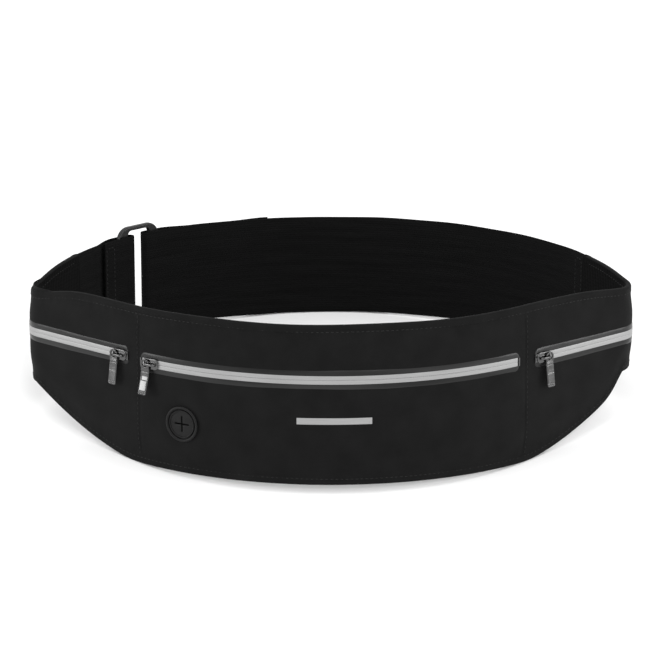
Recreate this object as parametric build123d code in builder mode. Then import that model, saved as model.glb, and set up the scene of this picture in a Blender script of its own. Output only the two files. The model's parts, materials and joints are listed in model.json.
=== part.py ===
from build123d import *
import os
from math import asin, atan2, cos, pi, radians, sin

os.makedirs("parts", exist_ok=True)

# ------------------------------------------------------------------ driving dimensions
# Millimetres and degrees. "Out" is the distance outward from the loop's inner face.
# Heights are measured down from the level of the top edge.

# Plan of the inner face, right half: front arc, straight wing, tight corner, side, shoulder.
front_radius = 180.0
wing_angle = 40.5
wing_run = 82.0
corner_radius = 14.0
side_angle = 113.0
side_run = 50.0
shoulder_radius = 166.0
shoulder_angle = 158.0
front_reach = 64.5

# Pack body
pack_height = 100.0
band_height = 66.0
hem_height = 4.0
pack_end = 282.0
end_seam = 6.0
level_bottom = 112.0
slope_middle = (149.0, -88.0)
slope_end = 184.0
thickness = 5.0
lining_out = 1.2
liner_in = 1.5
liner_out = 1.9
panel_in = 3.9
thread = 0.2
block_margin = 10.0
left_divider_at = -122.7
right_divider_at = 125.0
divider_width = 2.0

# Zips: start, end, slider at rest, side of the slider that holds the pull, level
zips = {
    "main": (-121.3, 119.9, -112.7, -1, -33.5),
    "left": (-262.0, -131.5, -138.1, -1, -32.2),
    "right": (132.6, 262.0, 139.3, 1, -34.2),
}
tape_width = 12.0
silver_width = 5.2
slit = 1.6
coil_width = 2.6
coil_in = 3.4
tape_in = 4.2
tape_out = 4.8
stop_length = 0.9
stop_out = 5.5

# Sliders and pulls
slider_length = 10.7
slider_width = 7.0
plate_back = 2.2
plate_back_thickness = 0.9
plate_front = 5.3
plate_thickness = 1.0
plate_chamfer = 0.3
plate_corner = 2.4
back_plate_corner = 2.0
back_plate_inset = 0.6
post_length = 2.2
post_width = 0.8
crown_length = 8.4
crown_wire = 1.2
crown_width = 1.6
crown_rise = 2.9
pull_in = 6.7
pull_thickness = 1.0
eye_diameter = 6.3
eye_hole = 3.9
pull_width = 6.2
pull_rounding = 0.3
pull_length = 22.0
pull_neck = 6.0
pull_corner = 1.2
shoulder_lap = 0.8

# Earphone port
port_at = -91.4
port_level = -68.0
port_diameter = 22.5
port_neck = 16.6
port_hole = 17.0
port_flange = 1.1
flap_reach = 7.0
flap_slit = 0.5
backing_in = 2.3
backing_out = 3.3
port_rounding = 0.5
flap_in = 4.5
flap_thickness = 0.8
flap_gap = 0.3

# Plain reflective bar
bar_at = 2.0
bar_level = -59.0
bar_length = 44.0
bar_height = 4.0

# Belt: elastic band, rectangular loop, hook and loop fastening
elastic = 1.2
layer_gap = 0.3
loop_at = -345.0
loop_length = 34.0
loop_bar = 8.0
loop_rail = 2.8
loop_slack = 3.2
loop_in = 1.5
loop_thickness = 3.5
loop_rounding = 0.9
loop_corner = 9.0
window_corner = 3.0
fold_at = 7.0
bridge_out = 5.3
bridge_end = 21.0
merge_at = 40.0
fold_back = 33.0
tail_hinge = 23.0
tail_end = 38.0
tail_height = 64.0
tail_in = 3.9
rise_start = 62.0
rise_end = 36.0
fastener_height = 60.0
loop_tape_start = 118.0
loop_tape_end = 30.0
stitch_box = 9.0
stitch_margin = 1.0

# ------------------------------------------------------------------ plan of the loop
plan = (
    (front_radius, 0, 0, wing_angle),
    (0, wing_run, wing_angle, wing_angle),
    (corner_radius, 0, wing_angle, side_angle),
    (0, side_run, side_angle, side_angle),
    (shoulder_radius, 0, side_angle, shoulder_angle),
)
stretches = []
plan_x = 0.0
plan_y = -front_reach
station = 0.0
for radius, run, start_angle, end_angle in plan:
    start = radians(start_angle)
    end = radians(end_angle)
    length = radius * (end - start) if radius else run
    stretches.append((station, radius, start, plan_x, plan_y))
    if radius:
        plan_x += radius * (sin(end) - sin(start))
        plan_y += radius * (cos(start) - cos(end))
    else:
        plan_x += run * cos(start)
        plan_y += run * sin(start)
    station += length
shoulder_end = radians(shoulder_angle)
back_radius = plan_x / sin(shoulder_end)
stretches.append((station, back_radius, shoulder_end, plan_x, plan_y))
half_loop = station + back_radius * (pi - shoulder_end)
corner_y = stretches[2][4] + corner_radius * cos(radians(wing_angle))


def stretch_of(s):
    """The plan stretch that holds a station, and how far along it the station is."""
    for stretch in reversed(stretches):
        if abs(s) >= stretch[0]:
            return stretch, abs(s) - stretch[0]
    return stretches[0], abs(s)


def unwrap(s):
    """Stations past the back centre carry on up the left side."""
    return s - 2 * half_loop if s > half_loop else s


def heading(s):
    """Direction of travel along the belt, in radians; 0 is towards +X."""
    s = unwrap(s)
    (_, radius, start, _, _), run = stretch_of(s)
    turn = start + (run / radius if radius else 0)
    return turn if s >= 0 else -turn


def at(s, out=0.0):
    """Point of the plan at a station, moved outward from the inner face."""
    s = unwrap(s)
    (_, radius, start, x, y), run = stretch_of(s)
    turn = start + (run / radius if radius else 0)
    if radius:
        x += radius * (sin(turn) - sin(start))
        y += radius * (cos(start) - cos(turn))
    else:
        x += run * cos(start)
        y += run * sin(start)
    x += out * sin(turn)
    y -= out * cos(turn)
    return (x, y) if s >= 0 else (-x, y)


# ------------------------------------------------------------------ stance
# The pack stands on its deep front and on the lower edge of the band at the back.
tail_out = tail_in + elastic
front_rest = at(front_radius * asin(level_bottom / front_radius))[1]
back_rest = at(-(half_loop - tail_hinge - layer_gap), tail_out)[1]
tilt = atan2(pack_height - band_height, back_rest - front_rest)
front_edge = -(front_reach + thickness) * cos(tilt) - pack_height * sin(tilt)
tail_drop = (band_height - tail_height) / 2
back_edge = at(half_loop, tail_out)[1] * cos(tilt) - tail_drop * sin(tilt)
stand_y = -(front_edge + back_edge) / 2
stand_z = pack_height * cos(tilt) + front_rest * sin(tilt)
belt = Plane(origin=(0, stand_y, stand_z), x_dir=(1, 0, 0), z_dir=(0, sin(tilt), cos(tilt)))


def facing(s, out, level):
    """Plane that looks outward from the belt: x along the belt, y up."""
    x, y = at(s, out)
    turn = heading(s)
    centre = belt.from_local_coords((x, y, level))
    along = belt.from_local_coords((x + cos(turn), y + sin(turn), level)) - centre
    outward = belt.from_local_coords((x + sin(turn), y - cos(turn), level)) - centre
    return Plane(origin=centre, x_dir=along, z_dir=outward)


def across(s, level):
    """Plane across the belt's thickness: x along the belt, y outward, facing down."""
    x, y = at(s)
    turn = heading(s)
    centre = belt.from_local_coords((x, y, level))
    along = belt.from_local_coords((x + cos(turn), y + sin(turn), level)) - centre
    return Plane(origin=centre, x_dir=along, z_dir=-belt.z_dir)


# ------------------------------------------------------------------ bands
def spans(first, last):
    """A run along the belt, cut where the plan changes from one stretch to the next."""
    marks = [stretch[0] for stretch in stretches[1:]]
    marks += [-mark for mark in marks] + [2 * half_loop - mark for mark in marks]
    marks += [0.0, half_loop]
    cuts = [first] + sorted(mark for mark in marks if first < mark < last) + [last]
    return zip(cuts, cuts[1:])


def draw_edge(first, last, first_out, last_out):
    """One edge of a band in the open line builder; its distance out changes evenly."""
    slope = (last_out - first_out) / (last - first)
    for start, end in spans(first, last):
        middle = (start + end) / 2
        ends = [at(s, first_out + slope * (s - first)) for s in (start, middle, end)]
        if stretch_of(unwrap(middle))[0][1]:
            ThreePointArc(*ends)
        else:
            Line(ends[0], ends[2])


def band(first, last, inner, outer, bottom):
    """Plan outline of an upright band between two stations, at the level of its bottom."""
    with BuildSketch(belt.offset(bottom)) as outline:
        with BuildLine():
            draw_edge(first, last, inner, inner)
            draw_edge(first, last, outer, outer)
            Line(at(first, inner), at(first, outer))
            Line(at(last, inner), at(last, outer))
        make_face()
    return outline.sketch


def pack_outline(rise):
    """Block inside which the pack lies, with its bottom edge raised by rise."""
    reach = front_reach + corner_y + 3 * block_margin
    side = slope_end + 2 * block_margin
    front = Plane(
        origin=belt.from_local_coords((0, corner_y, rise)),
        x_dir=(1, 0, 0),
        z_dir=-belt.y_dir,
    )
    middle_x, middle_level = slope_middle
    with BuildPart() as block:
        with BuildSketch(front):
            with BuildLine():
                Line((-level_bottom, -pack_height), (level_bottom, -pack_height))
                for hand in (-1, 1):
                    slope_start = (hand * level_bottom, -pack_height)
                    slope_top = (hand * slope_end, -band_height)
                    ThreePointArc(slope_start, (hand * middle_x, middle_level), slope_top)
                    side_low, side_high = (hand * side, -band_height), (hand * side, block_margin)
                    Polyline(slope_top, side_low, side_high)
                Line((-side, block_margin), (side, block_margin))
            make_face()
        extrude(amount=reach)
        with BuildSketch(belt.offset(rise - band_height)):
            with Locations((0, corner_y + reach / 2)):
                Rectangle(2 * side, reach)
        extrude(amount=band_height + block_margin)
    return block.part


pack_block = pack_outline(0)
inside_block = pack_outline(hem_height)
panel_end = pack_end - end_seam
panel_height = pack_height - hem_height

# ------------------------------------------------------------------ pack body
with BuildPart() as back_lining:
    extrude(band(-panel_end, panel_end, 0, lining_out, -pack_height), amount=panel_height)
    add(inside_block, mode=Mode.INTERSECT)
back_lining.part.label = "back_lining"
export_step(back_lining.part, "parts/back_lining.step")

with BuildPart() as top_hem:
    extrude(band(-panel_end, panel_end, 0, thickness, -hem_height), amount=hem_height)
top_hem.part.label = "top_hem"
export_step(top_hem.part, "parts/top_hem.step")

with BuildPart() as bottom_hem:
    extrude(band(-panel_end, panel_end, 0, thickness, -pack_height), amount=pack_height / 2)
    add(pack_block, mode=Mode.INTERSECT)
    add(inside_block, mode=Mode.SUBTRACT)
bottom_hem.part.label = "bottom_hem"
export_step(bottom_hem.part, "parts/bottom_hem.step")

for name, first, last in (
    ("left_end_seam", -pack_end, -panel_end),
    ("right_end_seam", panel_end, pack_end),
):
    with BuildPart() as end_piece:
        extrude(band(first, last, 0, thickness, -band_height), amount=band_height)
    end_piece.part.label = name
    export_step(end_piece.part, f"parts/{name}.step")

for name, centre in (
    ("left_divider_seam", left_divider_at),
    ("right_divider_seam", right_divider_at),
):
    with BuildPart() as divider:
        first = centre - divider_width / 2
        last = centre + divider_width / 2
        extrude(band(first, last, lining_out, panel_in, -pack_height), amount=panel_height)
        add(inside_block, mode=Mode.INTERSECT)
    divider.part.label = name
    export_step(divider.part, f"parts/{name}.step")

half_divider = divider_width / 2
pockets = {
    "left": (-panel_end, left_divider_at),
    "main": (left_divider_at, right_divider_at),
    "right": (right_divider_at, panel_end),
}
for name, (first, last) in pockets.items():
    zip_first, zip_last, _, _, zip_level = zips[name]
    with BuildPart() as panel:
        extrude(band(first, last, panel_in, thickness, -pack_height), amount=panel_height)
        add(inside_block, mode=Mode.INTERSECT)
        opening = band(zip_first, zip_last, 0, 2 * thickness, zip_level - tape_width / 2)
        extrude(opening, amount=tape_width, mode=Mode.SUBTRACT)
        if name == "main":
            with BuildSketch(facing(port_at, 0, port_level)):
                Circle(port_hole / 2)
            extrude(amount=2 * thickness, mode=Mode.SUBTRACT)
    panel.part.label = f"{name}_front_panel"
    export_step(panel.part, f"parts/{name}_front_panel.step")

    with BuildPart() as liner:
        liner_first = first + half_divider
        liner_last = last - half_divider
        sheet = band(liner_first, liner_last, liner_in, liner_out, -pack_height)
        extrude(sheet, amount=panel_height)
        add(inside_block, mode=Mode.INTERSECT)
    liner.part.label = f"{name}_pocket_liner"
    export_step(liner.part, f"parts/{name}_pocket_liner.step")

# ------------------------------------------------------------------ zips
half_tape = tape_width / 2
half_slit = slit / 2
plate_top = plate_front + plate_thickness
plate_gap_start = plate_back + plate_back_thickness
post_rise = plate_front - plate_gap_start
leg_offset = (crown_length - crown_wire) / 2
for name, (first, last, rest, pull_side, zip_level) in zips.items():
    for part_name, bottom, top in (
        ("upper_tape", zip_level + half_slit, zip_level + half_tape),
        ("lower_tape", zip_level - half_tape, zip_level - half_slit),
    ):
        with BuildPart() as tape:
            extrude(band(first, last, tape_in, tape_out, bottom), amount=top - bottom)
        tape.part.label = f"{name}_zip_{part_name}"
        export_step(tape.part, f"parts/{name}_zip_{part_name}.step")

    with BuildPart() as silver:
        strip = (silver_width - slit) / 2
        for bottom in (zip_level + half_slit, zip_level - half_slit - strip):
            extrude(band(first, last, tape_out, thickness, bottom), amount=strip)
    silver.part.label = f"{name}_zip_silver"
    export_step(silver.part, f"parts/{name}_zip_silver.step")

    with BuildPart() as coils:
        row = coil_width - half_slit
        for bottom in (zip_level + half_slit, zip_level - half_slit - row):
            extrude(band(first, last, coil_in, tape_in, bottom), amount=row)
    coils.part.label = f"{name}_zip_coils"
    export_step(coils.part, f"parts/{name}_zip_coils.step")

    with BuildPart() as stops:
        for start in (first, last - stop_length):
            clip = band(start, start + stop_length, thickness, stop_out, zip_level - coil_width)
            extrude(clip, amount=2 * coil_width)
    stops.part.label = f"{name}_zip_stops"
    export_step(stops.part, f"parts/{name}_zip_stops.step")

    with BuildPart() as slider:
        with BuildSketch(facing(rest, plate_back, zip_level)):
            inset = back_plate_inset
            RectangleRounded(slider_length - inset, slider_width - inset / 3, back_plate_corner)
        extrude(amount=plate_back_thickness)
        with BuildSketch(facing(rest, plate_front, zip_level)):
            RectangleRounded(slider_length, slider_width, plate_corner)
        extrude(amount=plate_thickness)
        outward = Axis(facing(rest, 0, zip_level).origin, facing(rest, 0, zip_level).z_dir)
        chamfer(slider.faces().sort_by(outward)[-1].edges(), plate_chamfer)
        with BuildSketch(facing(rest, plate_gap_start, zip_level)):
            with Locations((-pull_side * (slider_length / 2 - post_length), 0)):
                Rectangle(post_length, post_width)
        extrude(amount=post_rise)
        with BuildSketch(across(rest, zip_level + crown_width / 2)) as crown:
            with Locations((0, plate_top)):
                Rectangle(crown_length, crown_rise, align=(Align.CENTER, Align.MIN))
                fillet(crown.vertices().group_by(Axis.Y)[-1], crown_wire)
                Rectangle(
                    crown_length - 2 * crown_wire,
                    crown_rise - crown_wire,
                    align=(Align.CENTER, Align.MIN),
                    mode=Mode.SUBTRACT,
                )
        extrude(amount=crown_width)
    slider.part.label = f"{name}_slider"
    export_step(slider.part, f"parts/{name}_slider.step")

    with BuildPart() as pull:
        with BuildSketch(facing(rest, pull_in, zip_level)):
            with Locations((pull_side * leg_offset, 0)):
                shoulder = eye_diameter - shoulder_lap
                paddle = pull_length - eye_diameter / 2 - shoulder
                Circle(eye_diameter / 2)
                Rectangle(pull_neck, eye_diameter, align=(Align.CENTER, Align.MAX))
                with Locations((0, -shoulder)):
                    hung = (Align.CENTER, Align.MAX)
                    RectangleRounded(pull_width, paddle, pull_corner, align=hung)
                Circle(eye_hole / 2, mode=Mode.SUBTRACT)
        extrude(amount=pull_thickness)
        rims = pull.faces().sort_by(outward)
        fillet(rims[0].edges() + rims[-1].edges(), pull_rounding)
    pull.part.label = f"{name}_pull"
    export_step(pull.part, f"parts/{name}_pull.step")

# ------------------------------------------------------------------ earphone port
port_face = facing(port_at, 0, port_level)
port_outward = Axis(port_face.origin, port_face.z_dir)
frame_width = 2 * (flap_reach * cos(pi / 4) + flap_gap)
with BuildPart() as port_ring:
    with BuildSketch(port_face.offset(backing_out)):
        Circle(port_neck / 2)
    extrude(amount=thickness - backing_out)
    with BuildSketch(port_face.offset(thickness)):
        Circle(port_diameter / 2)
    extrude(amount=port_flange)
    fillet(port_ring.faces().sort_by(port_outward)[-1].outer_wire().edges(), port_rounding)
    with BuildSketch(port_face):
        Rectangle(frame_width, frame_width, rotation=45)
    extrude(amount=2 * thickness, mode=Mode.SUBTRACT)
port_ring.part.label = "port_ring"
export_step(port_ring.part, "parts/port_ring.step")

with BuildPart() as port_backing:
    with BuildSketch(port_face.offset(backing_in)):
        Circle(port_diameter / 2)
        Rectangle(frame_width, frame_width, rotation=45, mode=Mode.SUBTRACT)
    extrude(amount=backing_out - backing_in)
port_backing.part.label = "port_backing"
export_step(port_backing.part, "parts/port_backing.step")

for number in range(4):
    with BuildPart() as flap:
        tip = flap_slit / 2
        corners = ((tip, tip), (flap_reach - tip, tip), (tip, flap_reach - tip))
        with BuildSketch(port_face.offset(flap_in)):
            Polygon(*corners, rotation=90 * number, align=None)
        extrude(amount=flap_thickness)
    flap.part.label = f"port_flap_{number + 1}"
    export_step(flap.part, f"parts/port_flap_{number + 1}.step")

with BuildPart() as reflective_bar:
    first = bar_at - bar_length / 2
    bar = band(first, first + bar_length, thickness, thickness + thread, bar_level - bar_height / 2)
    extrude(bar, amount=bar_height)
reflective_bar.part.label = "reflective_bar"
export_step(reflective_bar.part, "parts/reflective_bar.step")

# ------------------------------------------------------------------ rectangular loop
loop_height = band_height + 2 * loop_slack + 2 * loop_rail
with BuildPart() as webbing_loop:
    with BuildSketch(facing(loop_at, loop_in, -band_height / 2)):
        RectangleRounded(loop_length, loop_height, loop_corner)
        window = (loop_length - 2 * loop_bar, loop_height - 2 * loop_rail)
        RectangleRounded(*window, window_corner, mode=Mode.SUBTRACT)
    extrude(amount=loop_thickness)
    loop_outward = Axis(facing(loop_at, 0, 0).origin, facing(loop_at, 0, 0).z_dir)
    rims = webbing_loop.faces().sort_by(loop_outward)
    fillet(rims[0].edges() + rims[-1].edges(), loop_rounding)
webbing_loop.part.label = "webbing_loop"
export_step(webbing_loop.part, "parts/webbing_loop.step")


def near_loop(along, out):
    """Point of the plan in the loop's own flat frame."""
    x, y = at(loop_at)
    turn = heading(loop_at)
    return (x + along * cos(turn) + out * sin(turn), y + along * sin(turn) - out * cos(turn))


def draw_fold(hand, run_in):
    """Turn round one bar of the loop: hand is 1 for the pack's side, -1 for the far side."""
    for inner_out, outer_out in ((0, bridge_out + elastic), (elastic, bridge_out)):
        start = at(loop_at + hand * fold_at, inner_out)
        middle = (inner_out + outer_out) / 2
        reach = (outer_out - inner_out) / 2
        crest = near_loop(hand * (fold_at - reach), middle)
        ThreePointArc(start, crest, near_loop(hand * fold_at, outer_out))
        run_out = run_in + (elastic if outer_out > bridge_out else 0)
        flat = near_loop(hand * bridge_end, outer_out)
        Line(near_loop(hand * fold_at, outer_out), flat)
        Line(flat, at(loop_at + hand * merge_at, run_out))


return_in = elastic + layer_gap
with BuildPart() as left_tab:
    with BuildSketch(belt.offset(-band_height)):
        with BuildLine():
            draw_fold(1, return_in)
            for out in (0, elastic):
                draw_edge(loop_at + fold_at, loop_at + fold_back, out, out)
                draw_edge(loop_at + merge_at, -pack_end, return_in + out, return_in + out)
            Line(at(loop_at + fold_back, 0), at(loop_at + fold_back, elastic))
            Line(at(-pack_end, return_in), at(-pack_end, return_in + elastic))
        make_face()
    extrude(amount=band_height)
left_tab.part.label = "left_tab"
export_step(left_tab.part, "parts/left_tab.step")

full_loop = 2 * half_loop
strap_stop = tail_hinge + layer_gap - half_loop
with BuildPart() as strap:
    with BuildSketch(belt.offset(-band_height)):
        with BuildLine():
            draw_fold(-1, return_in)
            for out in (0, elastic):
                draw_edge(pack_end, full_loop + loop_at - fold_at, out, out)
                draw_edge(rise_start - half_loop, loop_at - merge_at, return_in + out, return_in + out)
                draw_edge(rise_end - half_loop, rise_start - half_loop, tail_in + out, return_in + out)
                draw_edge(strap_stop, rise_end - half_loop, tail_in + out, tail_in + out)
            Line(at(pack_end, 0), at(pack_end, elastic))
            Line(at(strap_stop, tail_in), at(strap_stop, tail_out))
        make_face()
    extrude(amount=band_height)
strap.part.label = "strap"
export_step(strap.part, "parts/strap.step")

# ------------------------------------------------------------------ hook and loop fastening
tail_first = half_loop - tail_end
tail_last = half_loop + tail_hinge
fastener_bottom = -(band_height + fastener_height) / 2
with BuildPart() as strap_tail:
    bottom = -(band_height + tail_height) / 2
    extrude(band(tail_first, tail_last, tail_in, tail_out, bottom), amount=tail_height)
strap_tail.part.label = "strap_tail"
export_step(strap_tail.part, "parts/strap_tail.step")

for name, first, last, inner in (
    ("hook_patch", tail_first + stitch_margin, tail_last - 2 * stitch_margin, tail_in - elastic),
    ("loop_tape", half_loop - loop_tape_start, half_loop + loop_tape_end, elastic),
):
    with BuildPart() as fastener:
        outline = band(first, last, inner, inner + elastic, fastener_bottom)
        extrude(outline, amount=fastener_height)
    fastener.part.label = name
    export_step(fastener.part, f"parts/{name}.step")

# ------------------------------------------------------------------ stitching
for name, block in (("top", None), ("bottom", pack_outline(hem_height - thread))):
    with BuildPart() as stitching:
        if name == "top":
            row = band(-panel_end, panel_end, thickness, thickness + thread, -hem_height)
            extrude(row, amount=thread)
        else:
            row = band(-panel_end, panel_end, thickness, thickness + thread, -pack_height)
            extrude(row, amount=pack_height / 2)
            add(block, mode=Mode.INTERSECT)
            add(inside_block, mode=Mode.SUBTRACT)
    stitching.part.label = f"{name}_stitching"
    export_step(stitching.part, f"parts/{name}_stitching.step")

for name, centre in (("left", left_divider_at), ("right", right_divider_at)):
    with BuildPart() as stitching:
        for start in (centre - half_divider, centre + half_divider - thread):
            row = band(start, start + thread, thickness, thickness + thread, -pack_height)
            extrude(row, amount=panel_height)
        add(inside_block, mode=Mode.INTERSECT)
    stitching.part.label = f"{name}_divider_stitching"
    export_step(stitching.part, f"parts/{name}_divider_stitching.step")

fold_end = loop_at + fold_back
for name, first, last, out in (
    ("tab_stitching", fold_end - stitch_box, fold_end - stitch_margin, -thread),
    ("strap_end_stitching", pack_end + stitch_margin, pack_end + stitch_box, -thread),
    ("hook_stitching", tail_first + 2 * stitch_margin, tail_last - 3 * stitch_margin, tail_out),
):
    with BuildPart() as stitching:
        height = fastener_height - 2 * stitch_margin
        bottom = -(band_height + height) / 2
        extrude(band(first, last, out, out + thread, bottom), amount=height)
        inset = band(first + thread, last - thread, out, out + thread, bottom + thread)
        extrude(inset, amount=height - 2 * thread, mode=Mode.SUBTRACT)
    stitching.part.label = name
    export_step(stitching.part, f"parts/{name}.step")
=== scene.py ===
"""Running belt: fabric, zips, metal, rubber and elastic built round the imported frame."""

import json
import math

import bmesh
import bpy
import numpy as np
from mathutils import Matrix, Vector

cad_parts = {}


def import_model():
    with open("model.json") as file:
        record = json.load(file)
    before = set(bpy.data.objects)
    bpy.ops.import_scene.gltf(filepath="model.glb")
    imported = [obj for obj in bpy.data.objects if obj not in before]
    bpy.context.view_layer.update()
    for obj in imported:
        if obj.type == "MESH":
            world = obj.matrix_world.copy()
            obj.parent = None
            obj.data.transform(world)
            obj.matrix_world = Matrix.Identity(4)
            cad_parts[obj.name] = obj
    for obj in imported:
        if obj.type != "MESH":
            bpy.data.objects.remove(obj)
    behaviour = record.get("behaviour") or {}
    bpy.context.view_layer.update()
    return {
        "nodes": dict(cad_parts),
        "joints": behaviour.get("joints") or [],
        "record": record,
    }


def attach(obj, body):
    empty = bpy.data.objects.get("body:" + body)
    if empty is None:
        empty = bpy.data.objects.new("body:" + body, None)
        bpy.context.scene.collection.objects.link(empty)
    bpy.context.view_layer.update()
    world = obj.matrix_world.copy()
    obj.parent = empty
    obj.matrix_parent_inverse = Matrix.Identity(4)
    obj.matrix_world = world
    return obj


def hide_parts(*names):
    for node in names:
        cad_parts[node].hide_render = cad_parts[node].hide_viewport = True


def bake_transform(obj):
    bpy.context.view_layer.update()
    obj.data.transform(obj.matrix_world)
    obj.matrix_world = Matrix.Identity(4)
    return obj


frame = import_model()
noise = np.random.default_rng(7)

# ---------------------------------------------------------------- the belt's plan, in millimetres
# Right half of the inner face: front arc, wing, tight corner, side, shoulder, back arc.
MM = 0.001
FRONT_RADIUS, WING_ANGLE, WING_RUN = 180.0, 40.5, 82.0
CORNER_RADIUS, SIDE_ANGLE, SIDE_RUN = 14.0, 113.0, 50.0
SHOULDER_RADIUS, SHOULDER_ANGLE, FRONT_REACH = 166.0, 158.0, 64.5
PACK_DEPTH, BAND, HEM = 100.0, 66.0, 4.0
PACK_END, END_SEAM = 282.0, 6.0
LEVEL_BOTTOM, SLOPE_END, EDGE_SHIFT = 119.0, 180.0, (-2.5, -1.5)
CORNER_LIFT, CORNER_LIFT_AT, CORNER_LIFT_SPREAD = 10.0, 215.0, 11.0
CORNER_START = 209.2
TAPE, SILVER = 12.0, 5.2
DIVIDERS = (-122.7, 125.0)
ZIPS = {
    "main": (-121.3, 119.9, -112.7, -1, -33.5),
    "left": (-262.0, -131.5, -138.1, -1, -32.2),
    "right": (132.6, 262.0, 139.3, 1, -34.2),
}
PORT_AT, PORT_LEVEL = -91.4, -68.0
BAR_AT, BAR_LEVEL, BAR_LENGTH, BAR_HEIGHT = 2.0, -59.0, 44.0, 4.0
LOOP_AT, FOLD_AT, FOLD_BACK = -345.0, 7.0, 33.0
BRIDGE_OUT, BRIDGE_END, MERGE_AT = 5.3, 21.0, 40.0
ELASTIC, LAYER_GAP, TAIL_IN = 1.2, 0.3, 3.9
TAIL_HINGE, TAIL_END, TAIL_JOIN = 23.0, 38.0, 47.0
RISE_START, RISE_END = 62.0, 50.0
CROWN_LENGTH, CROWN_WIRE = 8.4, 1.2

CAMERA_PITCH, CAMERA_DISTANCE, CAMERA_LENS, TARGET_LEVEL = 16.4, 2000.0, 177.3, -35.0
FRAME_SHIFT = (-0.0015, 0.0303)

plan = []
x = 0.0
y = -FRONT_REACH
station = 0.0
for radius, run, start, end in (
    (FRONT_RADIUS, 0, 0, WING_ANGLE),
    (0, WING_RUN, WING_ANGLE, WING_ANGLE),
    (CORNER_RADIUS, 0, WING_ANGLE, SIDE_ANGLE),
    (0, SIDE_RUN, SIDE_ANGLE, SIDE_ANGLE),
    (SHOULDER_RADIUS, 0, SIDE_ANGLE, SHOULDER_ANGLE),
):
    start, end = math.radians(start), math.radians(end)
    plan.append((station, radius, start, x, y))
    if radius:
        x += radius * (math.sin(end) - math.sin(start))
        y += radius * (math.cos(start) - math.cos(end))
    else:
        x += run * math.cos(start)
        y += run * math.sin(start)
    station += radius * (end - start) if radius else run
back_radius = x / math.sin(end)
plan.append((station, back_radius, end, x, y))
HALF = station + back_radius * (math.pi - end)

# The belt's own axes come from the main slider's joint, whose axis is the belt's up.
joints = {joint["name"]: joint for joint in frame["joints"]}
track = joints["main_slider_travel"]
UP = np.array(track["axis"])
ACROSS = np.array([1.0, 0, 0])
BACK = np.cross(UP, ACROSS)
TRACK_CENTRE = BACK * (FRONT_RADIUS - FRONT_REACH) + UP * ZIPS["main"][4]
ORIGIN = np.array(track["pos_m"]) - TRACK_CENTRE * MM


def lay_out(s):
    """Plan point and heading at stations along the inner face; arrays in, arrays out."""
    s = np.asarray(s, float)
    s = np.where(s > HALF, s - 2 * HALF, s)
    distance = np.abs(s)
    px, py, turn = (np.zeros_like(distance) for _ in range(3))
    for begin, radius, start, x0, y0 in plan:
        here = distance >= begin
        run = distance - begin
        if radius:
            angle = start + run / radius
            bx = x0 + radius * (np.sin(angle) - math.sin(start))
            by = y0 + radius * (math.cos(start) - np.cos(angle))
        else:
            angle = start + 0 * run
            bx = x0 + run * math.cos(start)
            by = y0 + run * math.sin(start)
        pairs = ((bx, px), (by, py), (angle, turn))
        px, py, turn = (np.where(here, new, old) for new, old in pairs)
    side = np.where(s < 0, -1.0, 1.0)
    return px * side, py, turn * side


def world(px, py, z):
    """Belt coordinates in millimetres to the row frame in metres."""
    px, py, z = np.broadcast_arrays(px, py, z)
    return ORIGIN + (px[..., None] * ACROSS + py[..., None] * BACK + z[..., None] * UP) * MM


def plan_point(s, out):
    """Plan points a distance out from the inner face."""
    px, py, turn = lay_out(s)
    return px + out * np.sin(turn), py - out * np.cos(turn)


def place(s, out, z):
    return world(*plan_point(s, out), z)


def run_lengths(points):
    """Distance travelled along a line of points, from 0."""
    return np.concatenate([[0], np.cumsum(np.linalg.norm(np.diff(points, axis=0), axis=1))])


def axes_at(s):
    """Along the belt and outward at a station, as unit vectors in the row frame."""
    _, _, turn = lay_out(s)
    along = ACROSS * math.cos(turn) + BACK * math.sin(turn)
    outward = ACROSS * math.sin(turn) - BACK * math.cos(turn)
    return along, outward


def local_frame(s, out, z):
    """Matrix whose x runs along the belt, y up and z outward, in metres."""
    along, outward = axes_at(s)
    matrix = Matrix.Identity(4)
    for column, axis in enumerate((along, UP, outward)):
        for row in range(3):
            matrix[row][column] = axis[row]
    matrix.translation = Vector(place(s, out, z))
    return matrix


def smooth(t):
    t = np.clip(t, 0, 1)
    return t * t * (3 - 2 * t)


def bottom_edge(s):
    """Level of the pack's lower edge: level at the front, then rising to the side band.

    The lift is at the right corner only, where it makes a notch. A lift of 0 takes that out.
    """
    px = np.abs(lay_out(s)[0]) + np.where(s < 0, *EDGE_SHIFT)
    along = (px - LEVEL_BOTTOM) / (SLOPE_END - LEVEL_BOTTOM)
    t = np.minimum((along + np.sqrt(along**2 + 0.01)) / 2, 1)
    past_corner = np.abs(s) > plan[2][0] + CORNER_RADIUS * 0.85
    rise = (PACK_DEPTH - BAND) * np.where(past_corner, 1, (t + t * t) / 2)
    lift = CORNER_LIFT * np.exp(-(((s - CORNER_LIFT_AT) / CORNER_LIFT_SPREAD) ** 2))
    return -PACK_DEPTH + rise + lift


# ---------------------------------------------------------------- mesh helpers
def new_object(name, verts, faces, cloth=None, sharp=35):
    mesh = bpy.data.meshes.new(name)
    mesh.from_pydata([tuple(v) for v in verts], [], faces)
    mesh.update()
    if cloth is not None:
        attribute = mesh.attributes.new("cloth", "FLOAT_VECTOR", "POINT")
        attribute.data.foreach_set("vector", np.asarray(cloth, np.float32).ravel())
    for polygon in mesh.polygons:
        polygon.use_smooth = True
    mesh.set_sharp_from_angle(angle=math.radians(sharp))
    obj = bpy.data.objects.new(name, mesh)
    bpy.context.scene.collection.objects.link(obj)
    return obj


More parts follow.
